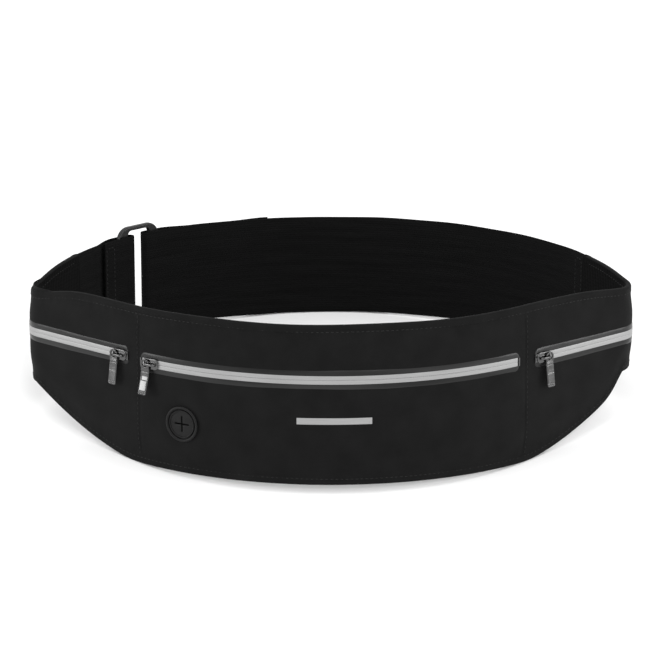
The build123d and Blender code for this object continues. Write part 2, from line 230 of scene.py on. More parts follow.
def recalculate(obj):
    """Point every face outward and merge points that coincide."""
    work = bmesh.new()
    work.from_mesh(obj.data)
    bmesh.ops.remove_doubles(work, verts=work.verts, dist=1e-7)
    bmesh.ops.recalc_face_normals(work, faces=work.faces)
    work.to_mesh(obj.data)
    work.free()
    return obj


def closed_sheet(name, front, back, cloth=None, keep=None):
    """Closed solid between two grids of points, with cells left out where keep is False."""
    rows, columns = front.shape[:2]
    faces = []
    index = np.arange(rows * columns).reshape(rows, columns)
    count = rows * columns
    if keep is None:
        keep = np.ones((rows - 1, columns - 1), bool)
    padded = np.pad(keep, 1)
    for i in range(rows - 1):
        for j in range(columns - 1):
            if not keep[i, j]:
                continue
            a, b, c, d = index[i, j], index[i, j + 1], index[i + 1, j + 1], index[i + 1, j]
            faces.append((a, b, c, d))
            faces.append((a + count, d + count, c + count, b + count))
            for present, p, q in (
                (padded[i, j + 1], a, b),
                (padded[i + 1, j + 2], b, c),
                (padded[i + 2, j + 1], c, d),
                (padded[i + 1, j], d, a),
            ):
                if not present:
                    faces.append((q, p, p + count, q + count))
    verts = np.concatenate([front.reshape(-1, 3), back.reshape(-1, 3)])
    used = np.zeros(2 * count, bool)
    used[[v for face in faces for v in face]] = True
    renumber = np.cumsum(used) - 1
    faces = [tuple(int(renumber[v]) for v in face) for face in faces]
    if cloth is not None:
        cloth = np.concatenate([cloth.reshape(-1, 3)] * 2)[used]
    return recalculate(new_object(name, verts[used], faces, cloth))


def shell(name, s, z, outer, inner, keep=None):
    """Closed cloth panel over stations s and levels z(s, row)."""
    stations = np.broadcast_to(s, z.shape)
    cloth = np.stack([stations * MM, z * MM, 0 * z], -1)
    return closed_sheet(name, place(stations, outer, z), place(stations, inner, z), cloth, keep)


def join(name, *parts):
    """One object from several closed ones."""
    work = bmesh.new()
    for part in parts:
        work.from_mesh(part.data)
        mesh = part.data
        bpy.data.objects.remove(part)
        bpy.data.meshes.remove(mesh)
    mesh = bpy.data.meshes.new(name)
    work.to_mesh(mesh)
    work.free()
    obj = bpy.data.objects.new(name, mesh)
    bpy.context.scene.collection.objects.link(obj)
    return obj


def tube(name, rings, cloth=None, sharp=35):
    """Closed solid through rings of points: (n, k, 3), ends filled with fans."""
    n, k = rings.shape[:2]
    verts = rings.reshape(-1, 3)
    faces = []
    for i in range(n - 1):
        for j in range(k):
            a, b = i * k + j, i * k + (j + 1) % k
            faces.append((a, b, b + k, a + k))
    faces.append(tuple(range(k))[::-1])
    faces.append(tuple(range((n - 1) * k, n * k)))
    return recalculate(new_object(name, verts, faces, cloth, sharp))


def swept(name, s, section, sharp=35):
    """Sweep a closed section, a function of station giving out and level arrays, along the belt."""
    parts = [section(float(v)) for v in s]
    out = np.array([p[0] for p in parts])
    z = np.array([p[1] for p in parts])
    stations = np.repeat(np.asarray(s)[:, None], out.shape[1], 1)
    cloth = np.stack([stations * MM, (z + out) * MM, 0 * z], -1).reshape(-1, 3)
    return tube(name, place(stations, out, z), cloth, sharp)


def rounded_section(inner, outer, low, high, corner=0.3, steps=2):
    """Rounded rectangle in (out, level)."""
    corner = min(corner, (outer - inner) * 0.49, (high - low) * 0.49)
    points = []
    for cx, cz, turn in (
        (outer - corner, low + corner, -90),
        (outer - corner, high - corner, 0),
        (inner + corner, high - corner, 90),
        (inner + corner, low + corner, 180),
    ):
        for step in range(steps + 1):
            angle = math.radians(turn + 90 * step / steps)
            points.append((cx + corner * math.cos(angle), cz + corner * math.sin(angle)))
    return np.array([p[0] for p in points]), np.array([p[1] for p in points])


def finish_piece(obj, body, slot, *nodes):
    """Give a piece the look of its slot, attach it to its body and hide its CAD nodes; a piece
    given no body is left unattached.
    """
    obj.data.materials.clear()
    obj.data.materials.append(LOOKS[slot])
    if body:
        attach(obj, body)
    if nodes:
        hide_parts(*nodes)
    return obj


# ---------------------------------------------------------------- materials
def link(tree, node, output, target, socket):
    tree.links.new(node.outputs[output], target.inputs[socket])


def surface(name, color, roughness, metallic=0.0, specular=0.5, sheen=0.0):
    """A principled material and its tree; numbers go straight on the shader."""
    made = bpy.data.materials.new(name)
    made.use_nodes = True
    tree = made.node_tree
    shader = tree.nodes["Principled BSDF"]
    shader.inputs["Base Color"].default_value = (*color, 1)
    shader.inputs["Roughness"].default_value = roughness
    shader.inputs["Metallic"].default_value = metallic
    shader.inputs["Specular IOR Level"].default_value = specular
    shader.inputs["Sheen Weight"].default_value = sheen
    shader.inputs["Sheen Roughness"].default_value = 0.45
    return made, tree, shader


def coordinates(tree, scale=(1, 1, 1), cloth=True):
    """Cloth coordinates (along the belt, height) or the object's, in millimetres times scale."""
    mapping = tree.nodes.new("ShaderNodeMapping")
    mapping.inputs["Scale"].default_value = [1000 * value for value in scale]
    if cloth:
        source = tree.nodes.new("ShaderNodeAttribute")
        source.attribute_name = "cloth"
        link(tree, source, "Vector", mapping, "Vector")
    else:
        source = tree.nodes.new("ShaderNodeTexCoord")
        link(tree, source, "Object", mapping, "Vector")
    return mapping


def noise_texture(tree, mapping, scale, detail=3.0, roughness=0.5):
    node = tree.nodes.new("ShaderNodeTexNoise")
    node.inputs["Scale"].default_value = scale
    node.inputs["Detail"].default_value = detail
    node.inputs["Roughness"].default_value = roughness
    link(tree, mapping, "Vector", node, "Vector")
    return node


def wave_texture(tree, mapping, period, direction, distortion=0.0):
    """Bands with a period in millimetres."""
    node = tree.nodes.new("ShaderNodeTexWave")
    node.bands_direction = direction
    node.inputs["Scale"].default_value = 0.314159 / period
    node.inputs["Distortion"].default_value = distortion
    node.inputs["Detail"].default_value = 1
    link(tree, mapping, "Vector", node, "Vector")
    return node


def math_node(tree, operation, first, second):
    node = tree.nodes.new("ShaderNodeMath")
    node.operation = operation
    for slot_number, value in enumerate((first, second)):
        if isinstance(value, (int, float)):
            node.inputs[slot_number].default_value = value
        else:
            tree.links.new(value, node.inputs[slot_number])
    return node.outputs[0]


def grey(value):
    return (value, value, value)


def vary_color(tree, shader, factor, value, low, high):
    """Grey runs from low to high times its value as factor goes from 0 to 1."""
    ramp = tree.nodes.new("ShaderNodeValToRGB")
    ramp.color_ramp.elements[0].color = (*grey(value * low), 1)
    ramp.color_ramp.elements[1].color = (*grey(value * high), 1)
    ramp.color_ramp.elements[0].position = 0.3
    ramp.color_ramp.elements[1].position = 0.7
    tree.links.new(factor, ramp.inputs["Fac"])
    link(tree, ramp, "Color", shader, "Base Color")


def vary_roughness(tree, shader, factor, low, high):
    scaled = math_node(tree, "MULTIPLY", factor, high - low)
    tree.links.new(math_node(tree, "ADD", scaled, low), shader.inputs["Roughness"])


def raise_surface(tree, shader, height, distance):
    """Bump whose height, from 0 to 1, stands for distance in millimetres."""
    node = tree.nodes.new("ShaderNodeBump")
    node.inputs["Strength"].default_value = 1.0
    node.inputs["Distance"].default_value = distance * MM
    tree.links.new(height, node.inputs["Height"])
    link(tree, node, "Normal", shader, "Normal")


def knit(name, value, period, depth, sheen, roughness=0.78):
    """Fine stretch jersey: wales and courses crossed, with faint mottling."""
    made, tree, shader = surface(name, grey(value), roughness, specular=0.075, sheen=sheen)
    cloth = coordinates(tree)
    wales = wave_texture(tree, cloth, period, "X", 1.5)
    courses = wave_texture(tree, cloth, period * 0.75, "Y", 2.5)
    mottle = noise_texture(tree, cloth, 0.06, 4)
    fuzz = noise_texture(tree, cloth, 2.4, 2)
    vary_color(tree, shader, mottle.outputs["Fac"], value, 0.82, 1.22)
    vary_roughness(tree, shader, fuzz.outputs["Fac"], roughness - 0.12, roughness + 0.1)
    woven = math_node(tree, "MULTIPLY", wales.outputs["Fac"], courses.outputs["Fac"])
    woven = math_node(tree, "ADD", woven, math_node(tree, "MULTIPLY", fuzz.outputs["Fac"], 0.6))
    raise_surface(tree, shader, woven, depth)
    return made


def elastic(name, value):
    """Ribbed elastic: fine cords along the belt, crossed by closer weft."""
    made, tree, shader = surface(name, grey(value), 0.82, specular=0.06, sheen=0.006)
    cloth = coordinates(tree)
    cords = wave_texture(tree, cloth, 1.5, "Y", 0.25)
    weft = wave_texture(tree, cloth, 0.9, "X", 1.2)
    wear = noise_texture(tree, coordinates(tree, (0.02, 0.3, 1)), 1.0, 4)
    vary_color(tree, shader, wear.outputs["Fac"], value, 0.75, 1.3)
    height = math_node(tree, "MULTIPLY", weft.outputs["Fac"], 0.45)
    height = math_node(tree, "ADD", cords.outputs["Fac"], height)
    raise_surface(tree, shader, height, 0.16)
    return made


def spacer_mesh(name, value):
    """Open knit with rows of small round holes."""
    made, tree, shader = surface(name, grey(value), 0.85, specular=0.06, sheen=0.006)
    cells = tree.nodes.new("ShaderNodeTexVoronoi")
    cells.inputs["Scale"].default_value = 0.45
    cells.inputs["Randomness"].default_value = 0.12
    link(tree, coordinates(tree), "Vector", cells, "Vector")
    vary_color(tree, shader, cells.outputs["Distance"], value, 0.35, 1.3)
    raise_surface(tree, shader, cells.outputs["Distance"], 0.35)
    return made


def film(name, value):
    """Glossy laminated film with slow ripples and faint scuffs."""
    made, tree, shader = surface(name, grey(value), 0.3, specular=0.22)
    cloth = coordinates(tree, (0.35, 1, 1))
    ripples = noise_texture(tree, cloth, 0.22, 2)
    scuffs = noise_texture(tree, cloth, 3.0, 4, 0.7)
    tone = noise_texture(tree, coordinates(tree, (0.012, 0.1, 1)), 1.0, 2)
    vary_color(tree, shader, tone.outputs["Fac"], value, 0.4, 2.6)
    vary_roughness(tree, shader, scuffs.outputs["Fac"], 0.2, 0.42)
    raise_surface(tree, shader, ripples.outputs["Fac"], 0.3)
    return made


def reflective(name, value):
    """Silver bead film: soft metallic grey, lightly streaked along its length."""
    made, tree, shader = surface(name, grey(value), 0.42, metallic=0.3, specular=0.4)
    streaks = noise_texture(tree, coordinates(tree, (0.05, 3.5, 1)), 1.0, 4, 0.6)
    beads = noise_texture(tree, coordinates(tree), 9.0, 1)
    vary_color(tree, shader, streaks.outputs["Fac"], value, 0.86, 1.1)
    vary_roughness(tree, shader, beads.outputs["Fac"], 0.34, 0.5)
    raise_surface(tree, shader, beads.outputs["Fac"], 0.02)
    return made


def metal(name, value, roughness, brushed):
    """Plated metal with hairline brushing or fine polishing marks."""
    made, tree, shader = surface(name, grey(value), roughness, metallic=1.0)
    grain = (8, 0.25, 8) if brushed else (3, 3, 3)
    marks = noise_texture(tree, coordinates(tree, grain, cloth=False), 1.0, 4, 0.65)
    vary_color(tree, shader, marks.outputs["Fac"], value, 0.8, 1.15)
    vary_roughness(tree, shader, marks.outputs["Fac"], roughness * 0.7, roughness * 1.5)
    raise_surface(tree, shader, marks.outputs["Fac"], 0.015)
    return made


def moulded(name, value, roughness, grain, depth, specular=0.45):
    """Moulded plastic or rubber with a fine surface grain."""
    made, tree, shader = surface(name, grey(value), roughness, specular=specular)
    skin = noise_texture(tree, coordinates(tree, cloth=False), grain, 3, 0.6)
    patches = noise_texture(tree, coordinates(tree, cloth=False), 0.15, 2)
    vary_color(tree, shader, patches.outputs["Fac"], value, 0.8, 1.25)
    vary_roughness(tree, shader, skin.outputs["Fac"], roughness - 0.08, roughness + 0.12)
    raise_surface(tree, shader, skin.outputs["Fac"], depth)
    return made


def fleece(name, value):
    """Hook and loop tape: a dense nap."""
    made, tree, shader = surface(name, grey(value), 0.92, specular=0.05, sheen=0.04)
    nap = noise_texture(tree, coordinates(tree), 1.6, 5, 0.75)
    vary_color(tree, shader, nap.outputs["Fac"], value, 0.5, 1.5)
    raise_surface(tree, shader, nap.outputs["Fac"], 0.5)
    return made


def twisted(name, value):
    """Sewing thread with its ply."""
    made, tree, shader = surface(name, grey(value), 0.6, specular=0.2, sheen=0.03)
    ply = wave_texture(tree, coordinates(tree, cloth=False), 0.35, "DIAGONAL", 0.3)
    vary_color(tree, shader, ply.outputs["Fac"], value, 0.7, 1.25)
    raise_surface(tree, shader, ply.outputs["Fac"], 0.05)
    return made


LOOKS = {
    "shell_fabric": knit("shell_fabric", 0.0056, 0.7, 0.06, 0.015),
    "lining_fabric": spacer_mesh("lining_fabric", 0.0023),
    "pocket_fabric": knit("pocket_fabric", 0.008, 0.5, 0.05, 0.01),
    "zip_tape": film("zip_tape", 0.008),
    "reflective_film": reflective("reflective_film", 0.29),
    "zip_coil": moulded("zip_coil", 0.01, 0.35, 1.2, 0.03, 0.3),
    "slider_metal": metal("slider_metal", 0.1, 0.12, False),
    "pull_metal": metal("pull_metal", 0.085, 0.17, True),
    "port_rubber": moulded("port_rubber", 0.005, 0.45, 1.4, 0.05, 0.16),
    "elastic_band": elastic("elastic_band", 0.0032),
    "hook_and_loop": fleece("hook_and_loop", 0.006),
    "loop_plastic": moulded("loop_plastic", 0.007, 0.3, 0.9, 0.03, 0.35),
    "thread": twisted("thread", 0.01),
}
for entry in frame["record"]["subparts"]:
    mesh = frame["nodes"][entry["node"]].data
    mesh.materials.clear()
    mesh.materials.append(LOOKS[entry["material_slot"]])


# ---------------------------------------------------------------- pack body
# Distances out from the inner face: panels at a seam, and the most they reach under film and port.
SEAM_OUT, UNDER_FILM, UNDER_PORT = 3.5, 4.72, 4.9
SHELL_THICK, LINER_THICK = 0.7, 0.3


def top_edge(s):
    """The top edge dips a little where the pack turns its side corners."""
    depth = 5.2 - 1.2 * np.sign(s)
    return -depth * np.exp(-(((np.abs(s) - 216) / 27) ** 2)) + 0.25 * np.sin(s / 17.0)


def zip_level(s):
    """Level of the zip in the pocket that holds a station."""
    side = np.where(s < DIVIDERS[0], ZIPS["left"][4], ZIPS["right"][4])
    return np.where((s >= DIVIDERS[0]) & (s <= DIVIDERS[1]), ZIPS["main"][4], side)


def ripple(s, z, scale, phase):
    """Slow folds in the cloth, about -1 to 1."""
    wave = np.sin(s / scale + phase) * np.cos(z / (scale * 0.8) + 1.7 * phase)
    return 0.6 * wave + 0.4 * np.sin((s * 0.6 + z) / (scale * 0.7) + 2.3 * phase)


def shell_out(s, z):
    """Outer face of the front panels: full between the seams, drawn in at hems and dividers."""
    low = bottom_edge(s) + HEM
    high = top_edge(s) - HEM
    from_zip = z - zip_level(s)
    edge = np.minimum(z - low, high - z)
    out = SEAM_OUT + 1.25 * smooth(edge / 15)
    lower_pocket = smooth((-9 - from_zip) / 14) * smooth((z - low) / 22)
    out = out + 0.55 * lower_pocket * smooth((205 - np.abs(s)) / 30)
    calm = smooth((np.abs(from_zip) - 5) / 9)
    away_from_port = smooth((np.hypot(s - PORT_AT, z - PORT_LEVEL) - 12) / 9)
    out = out + (0.22 * ripple(s, z, 21, 0.4) + 0.1 * ripple(s, z, 8, 1.1)) * calm * away_from_port
    for divider in DIVIDERS:
        distance = np.abs(s - divider)
        pucker = 0.12 * np.sin(z * 1.15 + divider) * np.exp(-((distance / 4) ** 2))
        pucker = pucker * smooth(distance)
        groove = 0.35 * np.exp(-((distance / 1.2) ** 2)) + 0.25 * np.exp(-((distance / 10) ** 2))
        out = out + (pucker - groove) * smooth(edge / 6)
    hem_pull = np.exp(-((edge / 4) ** 2))
    out = out + 0.12 * np.sin(s * 0.9) * hem_pull
    end = smooth((PACK_END - END_SEAM - np.abs(s)) / 14)
    out = SEAM_OUT + (out - SEAM_OUT) * (0.3 + 0.7 * end)
    film_zone = smooth(1 - (np.abs(from_zip) - 5.2) / 3)
    out = np.where(out > UNDER_FILM, out - (out - UNDER_FILM) * film_zone, out)
    port_zone = smooth(1 - (np.hypot(s - PORT_AT, z - PORT_LEVEL) - 11) / 5)
    return np.where(out > UNDER_PORT, out - (out - UNDER_PORT) * port_zone, out)


def columns(first, last, step, *exact):
    """Stations from first to last about step apart, with some places hit exactly."""
    marks = sorted({first, last, *[value for value in exact if first < value < last]})
    pieces = []
    for start, end in zip(marks, marks[1:]):
        count = max(1, round((end - start) / step))
        pieces.append(np.linspace(start, end, count + 1)[:-1])
    return np.concatenate(pieces + [[last]])


SLOT_HALF = TAPE / 2 - 1.2
POCKETS = {
    "left": (-PACK_END + END_SEAM - 1, DIVIDERS[0]),
    "main": DIVIDERS,
    "right": (DIVIDERS[1], PACK_END - END_SEAM + 1),
}
for name, (first, last) in POCKETS.items():
    zip_first, zip_last, _, _, level = ZIPS[name]
    slot_first, slot_last = zip_first + 1.5, zip_last - 1.5
    fine = [first + 3, last - 3] + ([] if name == "main" else [CORNER_START, -CORNER_START])
    s = columns(first, last, 1.6, slot_first, slot_last, *fine)
    low = bottom_edge(s) + HEM - 0.8
    high = top_edge(s) - HEM + 0.8
    lower = low + np.linspace(0, 1, 26)[:, None] * (level - SLOT_HALF - low)
    slot_rows = level + np.linspace(-SLOT_HALF, SLOT_HALF, 5)[1:-1, None] + 0 * s
    upper = level + SLOT_HALF
    upper = upper + np.linspace(0, 1, 15)[:, None] * (high - upper)
    z = np.concatenate([lower, slot_rows, upper])
    middle_s = (s[1:] + s[:-1]) / 2
    middle_z = (z[1:, 1:] + z[:-1, :-1]) / 2
    in_slot = (middle_s > slot_first) & (middle_s < slot_last)
    in_slot = in_slot & (np.abs(middle_z - level) < SLOT_HALF)
    in_port = np.hypot(middle_s - PORT_AT, middle_z - PORT_LEVEL) < 8
    outer = shell_out(s[None, :], z)
    panel = shell(f"{name}_front_shell", s, z, outer, outer - SHELL_THICK, ~(in_slot | in_port))
    finish_piece(panel, "pack", "shell_fabric", f"{name}_front_panel")

    liner_s = columns(first + 1, last - 1, 4)
    liner_low = bottom_edge(liner_s) + HEM - 1
    liner_z = liner_low + np.linspace(0, 1, 24)[:, None] * (-HEM - liner_low)
    out = 2.0 + 0.12 * ripple(liner_s[None, :], liner_z, 13, 0.9)
    liner = shell(f"{name}_pocket_back", liner_s, liner_z, out, out - LINER_THICK)
    finish_piece(liner, "pack", "pocket_fabric", f"{name}_pocket_liner")

s = columns(-PACK_END + 0.6, PACK_END - 0.6, 2.0, CORNER_START, -CORNER_START)
low = bottom_edge(s) + 0.7
high = top_edge(s) - 0.7
z = low + np.linspace(0, 1, 48)[:, None] * (high - low)
edge = np.minimum(z - low, high - z)
inner = -0.42 - 0.15 * smooth(edge / 10) + 0.25 * ripple(s[None, :], z, 17, 0.2) * smooth(edge / 9)
inner += 0.3 * (1 - smooth(edge / 1.4)) + 0.12 * np.exp(-(((edge - HEM) / 0.8) ** 2))
lining = shell("back_lining_cloth", s, z, inner + 0.9, inner)
finish_piece(lining, "pack", "lining_fabric", "back_lining")

for name, divider in zip(("left", "right"), DIVIDERS):
    s = divider + np.array([-0.9, 0, 0.9])
    low = bottom_edge(s) + HEM
    high = top_edge(s) - HEM
    z = low + (high - low) * np.linspace(0, 1, 60)[:, None]
    inner = 0.75 + 0 * z
    fold = shell(f"{name}_divider_seam_fold", s, z, shell_out(s[None, :], z) - 0.8, inner)
    finish_piece(fold, "pack", "lining_fabric", f"{name}_divider_seam")


def hem_section(top):
    """Turned edge that holds shell and lining together, rounded over at its free side."""

    def section(at):
        free = float(top_edge(at)) if top else float(bottom_edge(at))
        seam = free - HEM - 0.7 if top else free + HEM + 0.7
        bulge = 0.07 * math.sin(at * 0.9) + 0.05 * math.sin(at * 0.37)
        rounding = 1.5
        side = 1 if top else -1
        out = [3.5 + bulge, 3.62 + bulge, 3.6 + bulge]
        level = [seam, seam + side * 0.3, free - side * (rounding + 1)]
        for centre, begin in ((3.55 - rounding, 0), (-0.1 + rounding, 90)):
            for step in range(5):
                angle = math.radians(begin + 90 * step / 4)
                out.append(centre + rounding * math.cos(angle))
                level.append(free - side * rounding * (1 - math.sin(angle)))
        out += [-0.15, -0.18, -0.05]
        level += [free - side * (rounding + 1), seam + side * 0.3, seam]
        return np.array(out), np.array(level)

    return section


s = columns(-PACK_END + 0.3, PACK_END - 0.3, 1.6, CORNER_START, -CORNER_START)
for name, top in (("top_hem", True), ("bottom_hem", False)):
    hem = swept(f"{name}_fold", s, hem_section(top))
    finish_piece(hem, "pack", "shell_fabric", name)

for name, side in (("left_end_seam", -1), ("right_end_seam", 1)):
    ends = sorted((side * (PACK_END - END_SEAM - 0.5), side * PACK_END))
    s = np.linspace(*ends, 12)
    middle = sum(ends) / 2

    def end_section(at, middle=middle):
        swell = 0.5 * (1 - ((at - middle) / 3.4) ** 2)
        low, high = -BAND + 0.3, float(top_edge(at)) - 0.2
        return rounded_section(-0.1 - swell * 0.3, SEAM_OUT + swell, low, high, 1.2, 4)

    binding = swept(f"{name}_fold", s, end_section)
    finish_piece(binding, "pack", "shell_fabric", name)


# ---------------------------------------------------------------- zips
FILM_IN, FILM_OUT, SILVER_OUT = 4.55, 4.97, 5.12
MEET, FILM_CORNER = 0.06, 3.5


def crowned(inner, outer, low, high, drop):
    """Thin strip whose face is crowned across its height and rounded over at both edges."""
    across_face = np.linspace(-1, 1, 9)
    level = (low + high) / 2 + across_face * (high - low) / 2
    out = outer - drop * across_face**4
    return np.append(out, [inner, inner]), np.append(level, [high - 0.05, low + 0.05])


for name, (first, last, rest, pull_side, level) in ZIPS.items():
    for part_name, side in (("upper", 1), ("lower", -1)):

        def film_section(at, first=first, last=last, side=side, level=level):
            inset = FILM_CORNER - min(FILM_CORNER, at - first, last - at)
            corner = FILM_CORNER - math.sqrt(max(FILM_CORNER**2 - inset**2, 0))
            wobble = 0.08 * math.sin(at / 11) + 0.05 * math.sin(at / 4.3)
            edges = sorted((level + side * MEET, level + side * (TAPE / 2 - corner + wobble)))
            swell = 0.06 * math.sin(at / 19 + side)
            return crowned(FILM_IN, FILM_OUT + swell, *edges, 0.3)

        rounded = first + FILM_CORNER * (1 - np.cos(np.linspace(0, math.pi / 2, 8)))
        stations = np.concatenate(
            [rounded[:-1], columns(first + FILM_CORNER, last - FILM_CORNER, 1.6)[:-1]]
            + [last + first - rounded[::-1]]
        )
        stations[[0, -1]] += (0.02, -0.02)
        film_piece = swept(f"{name}_zip_{part_name}_film", stations, film_section)
        node = f"{name}_zip_{part_name}_tape"
        finish_piece(film_piece, "pack", "zip_tape", node)

    strips = []
    for side in (1, -1):

        def silver_section(at, side=side, level=level):
            edges = sorted((level + side * MEET, level + side * SILVER / 2))
            outer = SILVER_OUT + 0.03 * math.sin(at / 19 + side)
            return crowned(FILM_IN + 0.2, outer, *edges, 0.07)

        stations = columns(first + 1.5, last - 1.5, 1.6)
        strips.append(swept(f"{name}_silver_{side}", stations, silver_section))
    silver = join(f"{name}_zip_silver_film", *strips)
    finish_piece(silver, "pack", "reflective_film", f"{name}_zip_silver")


# ---------------------------------------------------------------- sliders and pulls
PULL_WIDTH, PULL_FOOT, FOOT_ROUND = 6.2, -18.9, 0.8
EYE_RADIUS, EYE_HOLE, EYE_END = 3.1, 1.95, -2.9
# How fast each pull leans outward: below its eye, to the bend, and below the bend.
KICK = {"main": (0.06, 0.1, 0.3), "left": (0.16, 0.09, 0.13), "right": (0.16, 0.09, 0.13)}
KICK_START, STEP_AT, BEND_AT = 2.3, 5.6, 8.0


def rounded_outline(width, height, corner, steps=8):
    out, level = rounded_section(-width / 2, width / 2, -height / 2, height / 2, corner, steps)
    return np.stack([out, level], -1)


def circle(radius, count=48):
    angle = np.linspace(0, 2 * math.pi, count, endpoint=False)
    return np.stack([radius * np.cos(angle), radius * np.sin(angle)], -1)


def cut_plate(name, outlines, low, high, rounding, matrix):
    """Flat plate in a local frame, its outline and holes given, with rolled edges."""
    curve = bpy.data.curves.new(name, "CURVE")
    curve.dimensions = "2D"
    curve.fill_mode = "BOTH"
    curve.extrude = (high - low) / 2 - rounding
    curve.bevel_depth = rounding
    curve.bevel_resolution = 3
    curve.offset = -rounding
    for outline in outlines:
        spline = curve.splines.new("POLY")
        spline.points.add(len(outline) - 1)
        flat = np.hstack([outline, np.tile([0, 1], (len(outline), 1))])
        spline.points.foreach_set("co", flat.ravel())
        spline.use_cyclic_u = True
    holder = bpy.data.objects.new(name, curve)
    mesh = bpy.data.meshes.new_from_object(holder)
    bpy.data.objects.remove(holder)
    bpy.data.curves.remove(curve)
    mesh.transform(matrix @ Matrix.Scale(MM, 4) @ Matrix.Translation((0, 0, (low + high) / 2)))
    verts = [vertex.co.copy() for vertex in mesh.vertices]
    faces = [tuple(polygon.vertices) for polygon in mesh.polygons]
    bpy.data.meshes.remove(mesh)
    return recalculate(new_object(name, verts, faces))


def to_world(matrix, points):
    points = np.asarray(points, float) * MM
    turned = np.array(matrix.to_3x3())
    return points @ turned.T + np.array(matrix.translation)


def local_tube(name, matrix, rings):
    return tube(name, to_world(matrix, rings), sharp=50)


def crown(name, matrix):
    """Arch that holds the pull: legs straight at the foot, rolled over at the top."""
    angle = np.linspace(math.pi, 0, 33)
    reach = (CROWN_LENGTH - CROWN_WIRE) / 2
    x = reach * np.sign(np.cos(angle)) * np.abs(np.cos(angle)) ** 0.55
    z = 6.2 + 2.4 * np.abs(np.sin(angle)) ** 0.55
    dx, dz = np.gradient(x), np.gradient(z)
    size = np.hypot(dx, dz)
    profile = rounded_outline(CROWN_WIRE, 1.6, 0.45, 3)
    rings = np.zeros((len(x), len(profile), 3))
    rings[..., 0] = x[:, None] - (dz / size)[:, None] * profile[:, 0]
    rings[..., 1] = profile[:, 1]
    rings[..., 2] = z[:, None] + (dx / size)[:, None] * profile[:, 0]
    return local_tube(name, matrix, rings)


def make_slider(name, rest, pull_side, level):
    here = local_frame(rest, 0, level)
    outline = rounded_outline(10.7, 7.0, 2.4)
    waist = 1 - 0.1 * np.exp(-(((outline[:, 0] * pull_side - 2.2) / 1.4) ** 2))
    outline[:, 1] *= waist
    post = Matrix.Translation((-pull_side * 3.15 * MM, 0, 0))
    parts = [
        cut_plate("front", [outline], 5.3, 6.3, 0.48, here),
        cut_plate("back", [rounded_outline(10.1, 6.8, 2)], 2.2, 3.1, 0.3, here),
        cut_plate("post", [rounded_outline(2.2, 0.11, 0.05, 3)], 3.0, 5.4, 0.02, here @ post),
        crown("crown", here),
    ]
    parts.append(cut_plate("pad", [rounded_outline(8.8, 3.0, 1.4)], 6.2, 6.55, 0.15, here))
    slider = join(f"{name}_slider_body", *parts)
    body = f"{name}_slider"
    return finish_piece(slider, body, "slider_metal", body)


def make_pull(name, rest, pull_side, level):
    """Flat pull: eye round the crown's leg, a step, a dished middle and a ribbed foot."""
    leg = Matrix.Translation((pull_side * (CROWN_LENGTH - CROWN_WIRE) / 2 * MM, 0, 0))
    here = local_frame(rest, 0, level) @ leg
    turn = np.linspace(0, math.pi, 33)
    arch = [(EYE_RADIUS * math.cos(a), EYE_RADIUS * math.sin(a)) for a in turn]
    arch += [(-EYE_RADIUS, EYE_END), (EYE_RADIUS, EYE_END)]
    eye = cut_plate("eye", [arch, circle(EYE_HOLE, 32)], 6.65, 7.75, 0.38, here)
    foot_start = PULL_FOOT + FOOT_ROUND
    foot_rows = PULL_FOOT + FOOT_ROUND * (1 - np.sin(np.linspace(0, math.pi / 2, 8)[1:]))
    y = [np.linspace(-KICK_START, -4.6, 12), np.linspace(-4.75, foot_start, 110), foot_rows]
    y = np.concatenate(y)
    down = -y
    foot = np.clip((foot_start - y) / FOOT_ROUND, 0, 1)
    width = PULL_WIDTH - 2.2 * (1 - np.sqrt(1 - np.minimum(foot, 0.999) ** 2))
    across_face = np.linspace(-1, 1, 17)
    flat_part = np.clip((0.78 - np.abs(across_face)) / 0.16, 0, 1)[None, :]
    step = np.exp(-(((down - 5.2) / 0.35) ** 2))
    dish = smooth((down - 5.4) / 0.5) * smooth((10.6 - down) / 0.5)
    ribs = 0.5 + 0.5 * np.cos((down - 16.6) * 2 * math.pi / 0.8)
    ribs *= smooth((down - 16) / 0.3) * smooth((18.5 - down) / 0.3)
    top, upper, lower = KICK[name]
    middle = 7.0 + top * (down - KICK_START).clip(0, STEP_AT - KICK_START)
    middle += upper * (down - STEP_AT).clip(0, BEND_AT - STEP_AT) + lower * (down - BEND_AT).clip(0)
    relief = 0.2 * dish + 0.26 * ribs
    high = (middle + 0.5)[:, None] - (0.3 * step)[:, None] - relief[:, None] * flat_part
    roll = np.clip((np.abs(across_face) - 0.8) / 0.2, 0, 1) ** 2
    crown_across = 0.12 * (1 - across_face**2)
    high = high + crown_across[None, :] - 0.3 * roll[None, :] - 0.35 * foot[:, None] ** 2
    low = (middle - 0.42)[:, None] + 0.2 * roll[None, :] + 0.2 * foot[:, None] ** 2
    x = across_face[None, :] * width[:, None] / 2
    front = np.stack([x, y[:, None] + 0 * x, high], -1)
    back = np.stack([x, y[:, None] + 0 * x, low], -1)[:, ::-1]
    blade = local_tube("blade", here, np.concatenate([front, back], 1))
    pull = join(f"{name}_pull_tab", eye, blade)
    body = f"{name}_pull"
    return finish_piece(pull, body, "pull_metal", body)


for name, (first, last, rest, pull_side, level) in ZIPS.items():
    make_slider(name, rest, pull_side, level)
    make_pull(name, rest, pull_side, level)

